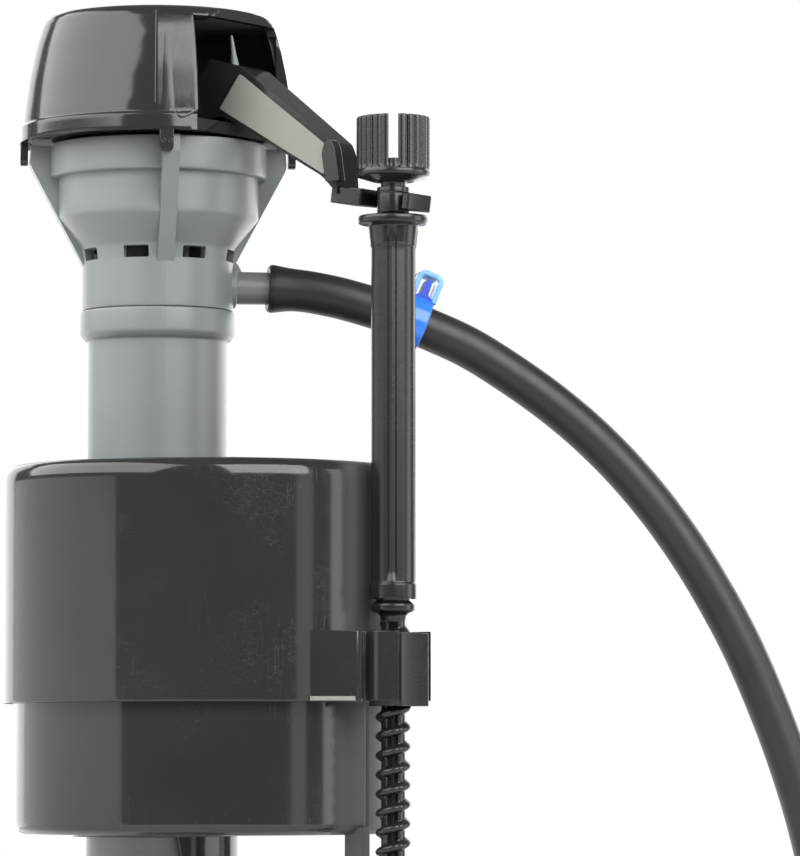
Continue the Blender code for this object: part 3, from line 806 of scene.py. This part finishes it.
def build_rod():
    """Knob with its driver slot, shaft, thread, and the bushing in the fork."""
    knob = dense(rounded([(0, 205.1), (6.95, 205.1), (6.95, 195.0), (7.1, 194.7),
                          (7.1, 194.1), (6.8, 193.8), (3.9, 192.9), (2.4, 192.8),
                          (2.2, 186.8)],
                         [0, 0.3, 0.1, 0.2, 0.2, 0.3, 0.4, 0.3, 0], closed=False), 0.5)
    top = piece("rod_knob", rings(knob, 300, closed=False, centre=(ROD_X, 0),
                                  shape=fluted), "screw", ROD_BLACK,
                ["adjusting_rod"])
    slot = slab([(-0.9, -9), (0.9, -9), (0.9, 9), (-0.9, 9)], 196.7, 207.0)
    carve(top, (turned_points(slot[0], SLOT_TURN, (ROD_X, 0, 0)), slot[1]))
    shaft = dense(rounded([
        (2.2, 187.5), (2.4, 186.6), (6.5, 186.4), (6.7, 185.9), (6.6, 184.9),
        (4.75, 184.5), (4.4, 181.2), (4.4, 180.7), (4.2, 180.4), (4.2, 117.3),
        (4.45, 117.0),
        (4.45, 114.2), (3.6, 114.9), (3.1, 113.9), (4.15, 113.3), (4.1, 112.0),
        (2.6, 111.4), (2.3, 110.0)],
        [0, 0.3, 0.3, 0.4, 0.4, 0.25, 0.5, 0.15, 0.15, 0.2, 0.3, 0.3, 0.3, 0.3, 0.4, 0.4,
         0.5, 0], closed=False), 1.2)
    piece("rod_shaft", rings(shaft, 240, closed=False, centre=(ROD_X, 0),
                             shape=channelled), "screw", ROD_BLACK)
    z = np.arange(111.0, 47.1, -0.22)
    rows = np.vstack([np.c_[np.full(len(z), 2.3), z], [(2.0, 47.0)], [(0, 47.0)]])
    piece("rod_thread", rings(rows, 144, closed=False, centre=(ROD_X, 0),
                              shape=threaded), "screw", ROD_BLACK,
          sharp=60)
    bush = rounded([(2.5, 191.8), (3.1, 191.8), (3.1, 190.8), (2.98, 190.6),
                    (3.1, 190.4), (3.1, 187.0), (2.5, 187.0)], 0.15)
    piece("rod_bushing", rings(bush, 72, centre=(ROD_X, 0)), "rod_carrier", ROD_BLACK,
          ["fork_bushing"])


# ---------------------------------------------------------------- float cup

def build_cup_upper():
    """Upside-down cup and its sleeve, as rings whose centres move from the riser's
    axis to the cup's own axis."""
    rows = [
        (0, 14.45, 69.4), (0, 14.45, 140.7), (0, 16.6, 140.9), (0, 17.0, 140.2),
        (CUP_X, 30.5, 140.1), (CUP_X, 31.2, 140.35), (CUP_X, 39.4, 140.4),
        (CUP_X, 39.4, 96.4), (CUP_X, 39.4, 94.95), (CUP_X, 37.8, 94.95),
        (CUP_X, 37.8, 138.7), (0, 16.4, 138.7), (0, 16.3, 69.4)]
    fillets = [0.3, 0.3, 0.4, 0.4, 0.5, 0.5, 3.0, 0.2, 0.45, 0.3, 1.5, 0.5, 0.3]
    shape = dense(rounded(rows, fillets), 4.0, closed=True)
    piece("cup_shell", rings(shape, 240), "float", CUP_BLACK,
          ["float_cup_upper"])
    turn = np.radians(np.linspace(-38, 38, 24))
    outer, inner = 16.25, 14.45
    angle, level = np.meshgrid(turn, np.linspace(0, 1, 8), indexing="ij")
    narrow = angle * (1 - 0.22 * level)
    height = 72.0 - 12.0 * level
    grid = np.stack([outer * np.cos(narrow), outer * np.sin(narrow), height], -1)
    piece("sleeve_tab", (grid.reshape(-1, 3), quads(24, 8, wrap_cols=False)), "float",
          CUP_BLACK, wall=outer - inner, bevel=0.3)
    build_lug()


def arc(centre_x, radius, start, end, count):
    """Points of an arc whose centre lies on the X axis."""
    turn = np.radians(np.linspace(start, end, count))
    return np.stack([centre_x + radius * np.cos(turn), radius * np.sin(turn)], 1)


def lug_outline():
    """Arm that leaves the wall tangentially, then a round nose with a pocket."""
    return np.vstack([
        [(48.9, -15.2), (55.9, -9.7), (56.2, -8.9), (55.0, -7.0)],
        arc(ROD_X, 6.7, -104, -43.5, 14),
        [(53.1, -4.6), (53.1, 5.3)],
        arc(ROD_X, 7.2, 47.4, 60, 5), [(48.9, 15.2)],
        arc(CUP_X, 38.6, 22.7, -22.7, 16)])


def build_lug():
    """Lug that wraps the rod, its lower lip with a painted highlight, and the clip inside.
    """
    piece("cup_lug", slab(lug_outline(), 95.2, 108.2), "float", CUP_BLACK,
          bevel=0.4, sharp=30)
    # The lip's light colour is a painted highlight.
    lip = rounded([(49.0, -15.5), (55.7, -10.2), (55.2, -9.0), (49.4, -14.0)], 0.3)
    piece("lug_lip", slab(lip, 95.2, 96.0), "float", LEVER_PAINTED_SHEEN,
          bevel=0.15)
    clip = rounded([(54.5, -4.3), (62.0, -4.3), (62.0, 5.0), (54.5, 5.0)],
                   [0.2, 0.5, 1.0, 0.2])
    block = piece("rod_clip", slab(clip, 94.2, 107.9), "float", ROD_BLACK,
                  ["thread_clip"], bevel=0.0)
    carve(block, rings([(0, 112), (3.7, 112), (3.7, 90), (0, 90)], 48, closed=False,
                       centre=(ROD_X, 0)))
    edge = block.modifiers.new("edge", "BEVEL")
    edge.width = 0.35 * MM
    edge.segments = 3
    edge.limit_method = "ANGLE"


def build_cup_lower():
    """Lower cup: floor with the riser's hole, rounded edge, wall and guide leg."""
    rows = [
        (0, 16.8, 70.1), (0, 16.8, 71.7), (CUP_X, 34.6, 71.7), (CUP_X, 35.5, 72.6),
        (CUP_X, 35.5, 104.0), (CUP_X, 37.1, 104.0), (CUP_X, 37.1, 72.0),
        (CUP_X, 36.7, 71.0), (CUP_X, 35.3, 70.15), (CUP_X, 34.2, 70.1)]
    fillets = [0.3, 0.3, 0.5, 0.5, 0.3, 0.3, 0.6, 0.5, 0.4, 0.3]
    shape = dense(rounded(rows, fillets), 4.0, closed=True)

    def ledge(radius, height, angle):
        """A narrow upright groove in the wall, next to the rod."""
        turn = (np.degrees(angle) + 180) % 360 - 180
        outer = (radius > 36.5) & (height < 94)
        groove = np.clip(1 - np.abs(turn - 2.6) / 0.9, 0, 1)
        return radius - 0.35 * groove * outer

    piece("cup_base", rings(shape, 720, shape=ledge), "float", CUP_BLACK,
          ["float_cup_lower"])
    leg = rounded([(46.6, -1.4), (50.6, -1.4), (50.6, 1.4), (46.6, 1.4)], 0.3)
    piece("guide_leg", slab(leg, 58.0, 71.6), "float", CUP_BLACK,
          bevel=0.25)


# ----------------------------------------------------- hose and its fittings

def on_hose_plane(r_z):
    """(distance, height) pairs in the vertical plane of the nipple."""
    r_z = np.asarray(r_z, float)
    return r_z[:, :1] * polar(NIPPLE_ANGLE) + r_z[:, 1:] * np.array([0, 0, 1.0])


def build_hose():
    """Hose with a flared mouth, its line a smooth curve through the route."""
    line = smooth_path(on_hose_plane(HOSE), 260)
    along = np.r_[0, np.cumsum(np.linalg.norm(np.diff(line, axis=0), axis=1))]
    flare = 1 + 0.16 * np.exp(-(along / 3.4) ** 2) - 0.10 * np.exp(-(along / 0.35) ** 2)
    side = np.cross(polar(NIPPLE_ANGLE), (0, 0, 1.0))
    hose = piece("hose", swept(line, side, circle(HOSE_R, 48), flare), "riser",
                 HOSE_RUBBER, ["refill_hose"])
    return hose, line * MM, along[-1] * MM


def clip_frame(points):
    """From (along the hose, across it, up from it) to the row frame."""
    slope = math.radians(CLIP_SLOPE)
    out = polar(NIPPLE_ANGLE)
    along = out * math.cos(slope) + np.array([0, 0, -math.sin(slope)])
    up = out * math.sin(slope) + np.array([0, 0, math.cos(slope)])
    across = np.cross(up, along)
    start = out * CLIP_R + np.array([0, 0, CLIP_Z])
    p = np.asarray(points, float)
    return start + p[:, :1] * along + p[:, 1:2] * across + p[:, 2:] * up


def build_flow_clip():
    """Band round the hose, a looped grip above it and a tongue inside the loop."""
    edge = rounded([(2.2, 4.5), (2.2, 9.7), (-2.2, 9.7), (-2.2, 4.5)],
                   [0.3, 1.3, 1.3, 0.3], closed=False, steps=8)
    path = np.stack([edge[:, 0], 0 * edge[:, 0], edge[:, 1]], 1)
    strip = rounded([(-3.4, -0.5), (3.4, -0.5), (3.4, 0.5), (-3.4, 0.5)], 0.3)
    points, faces = swept(dense(path, 0.5), (0, 1, 0), strip)
    # Paler blue on the loop: painted light.
    loop = piece("clip_loop", (clip_frame(points), faces), "riser", CLIP_PAINTED_LIGHT,
                 ["flow_clip"])
    turn = np.linspace(0, 2 * np.pi, 72, endpoint=False)[:, None]
    ring = rounded([(-2.3, 4.35), (-2.3, 5.45), (2.3, 5.45), (2.3, 4.35)], 0.25)
    a, r = ring[None, :, 0] + 0 * turn, ring[None, :, 1]
    points = np.stack([a, r * np.cos(turn), r * np.sin(turn)], -1)
    piece("clip_band", (clip_frame(points.reshape(-1, 3)),
                        quads(72, len(ring), wrap_rows=True)), "riser", CLIP_BLUE)
    tongue = rounded([(-1.9, 4.3), (1.9, 4.3), (1.7, 5.2), (0.75, 5.6), (0.6, 8.6),
                      (-0.6, 8.6), (-0.75, 5.6), (-1.7, 5.2)], 0.3, steps=4)
    points, faces = slab(tongue, -2.6, 2.6, "Y")
    # Darker blue on the tongue: painted shade.
    piece("clip_tongue", (clip_frame(points), faces), "riser", CLIP_PAINTED_SHADE,
          bevel=0.15)
    return loop


def build_hose_end():
    """Barbed elbow and the spring clip for the overflow pipe."""
    bend = rounded([(130.95, -20.3), (130.4, -34.0), (112.2, -34.0)], 6.0,
                   closed=False, steps=20)
    line = dense(on_hose_plane(bend), 0.6)
    along = np.linspace(0, 1, len(line))
    barb = 1 + 0.10 * np.exp(-((along - 0.03) / 0.03) ** 2) - 0.03 * (along > 0.3)
    side = np.cross(polar(NIPPLE_ANGLE), (0, 0, 1.0))
    elbow = piece("hose_elbow", swept(line, side, circle(3.2, 40), barb), "riser",
                  WHITE, ["angle_adapter"])
    path = rounded([(111.15, -52.0), (111.15, -30.45), (106.75, -30.45),
                    (106.75, -48.5), (106.4, -50.0)], [0, 1.0, 1.0, 0.5, 0],
                   closed=False, steps=8)
    strip = rounded([(-4.0, -0.4), (4.0, -0.4), (4.0, 0.4), (-4.0, 0.4)], 0.15)
    points, faces = swept(dense(on_hose_plane(path), 0.8), side, strip)
    clip = piece("pipe_clip", (points, faces), "riser", STEEL,
                 ["overflow_clip"])
    return elbow, clip


# ------------------------------------------------------------ shank and nut

def screw_thread(pitch, depth, low, high):
    """Radius less a V-shaped helical groove, faded out at both ends."""
    def shape(radius, height, angle):
        turn = (angle / (2 * np.pi) - height / pitch) % 1.0
        groove = np.clip(1.15 - np.abs(turn - 0.5) * 4, 0, 1)
        inside = np.clip((height - low) / 1.2, 0, 1) * np.clip((high - height) / 1.2, 0, 1)
        return radius - depth * groove * inside * (radius > 10)
    return shape


def ribbed_grip(radius, height, angle):
    """Shallow finger ribs on the grip above the flange."""
    inside = (radius > 15) & (radius < 15.7) & (height > 8.3) & (height < 12.1)
    return radius - 0.45 * (0.5 + 0.5 * np.cos(36 * angle)) * inside


def build_base():
    """Shank with its tube and grip, the cone washer and the grit basket."""
    outer = dense(rounded([(8.5, 148.0), (10.9, 148.0), (10.9, 12.4), (15.5, 12.3),
                           (15.5, 8.1), (17.5, 8.0), (17.5, 3.4), (11.9, 3.4),
                           (11.9, 0.0)],
                          [0.3, 0.4, 0.5, 0.6, 0.3, 0.6, 0.4, 0.2, 0], closed=False),
                  1.5)
    shank_z = np.arange(0.0, -56.3, -0.3)
    shank = np.c_[np.full(len(shank_z), 11.9), shank_z]
    bore = rounded([(11.2, -57.0), (5.6, -57.0), (5.6, 8.5), (8.5, 10.5), (8.5, 148.0)],
                   0.3, closed=False)
    rows = np.vstack([outer[:-1], shank, bore[:-1]])
    thread = screw_thread(SHANK_PITCH, 0.95, -55.5, -1.0)

    def shape(radius, height, angle):
        return thread(ribbed_grip(radius, height, angle), height, angle)

    piece("shank_moulding", rings(rows, 144, shape=shape), "base", GREY,
          ["shank_base"])
    piece("cone_washer", rings(rounded([(12.2, 3.1), (17.6, 3.1), (18.6, 0.9),
                                        (18.4, 0.0), (12.2, 0.0)], 0.4), 96), "base",
          SEAL_RUBBER, ["shank_washer"])
    basket = piece("grit_basket", rings(rounded([
        (0, -44.5), (4.2, -44.5), (4.2, -54.8), (5.2, -54.8), (5.2, -56.6),
        (3.2, -56.6), (3.2, -45.5), (0, -45.5)], 0.2, closed=False), 64,
        closed=False), "base", WHITE, ["inlet_strainer"])
    for turn in (0, 60, 120):
        slot = slab([(-7, -0.5), (7, -0.5), (7, 0.5), (-7, 0.5)], -53.6, -46.6)
        carve(basket, (turned_points(slot[0], turn), slot[1]))


def hexagonal(across):
    """Radius of a hexagon with that size across its flats, on the nut's outside."""
    def shape(radius, height, angle):
        local = (np.degrees(angle) + 30) % 60 - 30
        flat = 0.5 * across / np.cos(np.radians(local))
        return np.where(radius > 15.9, np.minimum(flat, radius), radius)
    return shape


def build_nut():
    """Slip washer and hexagonal nut."""
    piece("slip_washer", rings(rounded([(12.3, -10.0), (17.5, -10.0), (17.5, -11.2),
                                        (12.3, -11.2)], 0.3), 96), "nut_ring", WHITE,
          ["friction_washer"])
    rows = dense(rounded([(12.2, -11.5), (17.4, -11.5), (18.3, -12.4), (18.3, -21.6),
                          (17.4, -22.5), (12.2, -22.5)], 0.3), 0.8, closed=True)
    piece("hex_nut", rings(rows, 180, shape=hexagonal(31.8)), "nut", ROD_BLACK,
          ["lock_nut"], sharp=25)


# ------------------------------------------------------------- camera, light

def aim(thing, target):
    """Turns a camera or lamp towards a point."""
    direction = Vector(target) - thing.location
    thing.rotation_mode = "QUATERNION"
    thing.rotation_quaternion = direction.to_track_quat("-Z", "Y")


def build_camera():
    """Long lens a metre away, at the height of the float, tipped slightly up."""
    azimuth = math.radians(FACING + 90)
    right = Vector((math.cos(azimuth), math.sin(azimuth), 0))
    towards = Vector((math.sin(azimuth), -math.cos(azimuth), 0))
    lens = bpy.data.cameras.new("camera")
    lens.lens = 210.2
    lens.sensor_width = 36.0
    lens.clip_start = 0.01
    lens.clip_end = 50.0
    eye = bpy.data.objects.new("camera", lens)
    bpy.context.scene.collection.objects.link(eye)
    eye.location = towards * 0.972 + Vector((0, 0, 0.0842))
    aim(eye, right * 0.0473 + Vector((0, 0, 0.1488)))
    bpy.context.scene.camera = eye


def softbox(name, side, lift, wide, high, radiance):
    """Rectangular panel that faces the valve. `side` is degrees to the right of the
    camera's direction, `lift` its elevation, and `wide` and `high` its angular size."""
    turn = math.radians(FACING + side)
    rise = math.radians(lift)
    direction = Vector((math.cos(turn) * math.cos(rise), math.sin(turn) * math.cos(rise),
                        math.sin(rise)))
    lamp = bpy.data.lights.new(name, "AREA")
    lamp.shape = "RECTANGLE"
    lamp.size = 2 * LAMP_DISTANCE * math.tan(math.radians(wide / 2))
    lamp.size_y = 2 * LAMP_DISTANCE * math.tan(math.radians(high / 2))
    lamp.energy = 4 * radiance * lamp.size * lamp.size_y
    spot = bpy.data.objects.new(name, lamp)
    bpy.context.scene.collection.objects.link(spot)
    spot.location = direction * LAMP_DISTANCE + Vector(STUDIO_AIM)
    spot.visible_camera = False
    aim(spot, STUDIO_AIM)


def build_world():
    """White behind the valve, and a dim grey room in its reflections."""
    world = bpy.data.worlds.new("studio")
    bpy.context.scene.world = world
    world.use_nodes = True
    tree = world.node_tree
    ray = tree.nodes.new("ShaderNodeLightPath")
    level = math_node(tree, "MULTIPLY_ADD", ray.outputs["Is Camera Ray"],
                      1.0 - ROOM_LEVEL, ROOM_LEVEL)
    back = tree.nodes["Background"]
    back.inputs["Color"].default_value = (1, 1, 1, 1)
    tree.links.new(level, back.inputs["Strength"])


def build_studio():
    """World, lamps and floor."""
    build_world()
    softbox("left_low", -95, -10, 86, 30, 1.0)
    softbox("left_high", -75, 36, 90, 48, 3.2)
    softbox("right_high", 34, 29, 46, 40, 5.0)
    softbox("right_strip", 54, 0, 10, 50, 0.8)
    softbox("right_low", 84, 0, 26, 50, 2.0)
    softbox("back_left", -155, 0, 34, 60, 1.6)
    softbox("back_right", 148, 0, 48, 60, 2.2)
    floor = bpy.data.meshes.new("floor")
    z = CAD_BOX[0].z - FLOOR_GAP
    reach = FLOOR_REACH
    floor.from_pydata([(-reach, -reach, z), (reach, -reach, z), (reach, reach, z),
                       (-reach, reach, z)], [], [(0, 1, 2, 3)])
    ground = bpy.data.objects.new("floor", floor)
    bpy.context.scene.collection.objects.link(ground)
    floor.materials.append(plastic("floor_paper", (0.66, 0.66, 0.65), (0.70, 0.70, 0.69),
                                   0.7))
    bpy.context.scene.view_settings.view_transform = "Standard"


build_camera()
build_studio()
HOSE_PIECE, HOSE_LINE, HOSE_LENGTH = build_hose()
CLIP_PIECE = build_flow_clip()
ELBOW, PIPE_CLIP = build_hose_end()
build_cap()
build_valve_body()
build_riser()
build_inner_parts()
build_lever()
build_rod()
build_cup_upper()
build_cup_lower()
build_base()
build_nut()
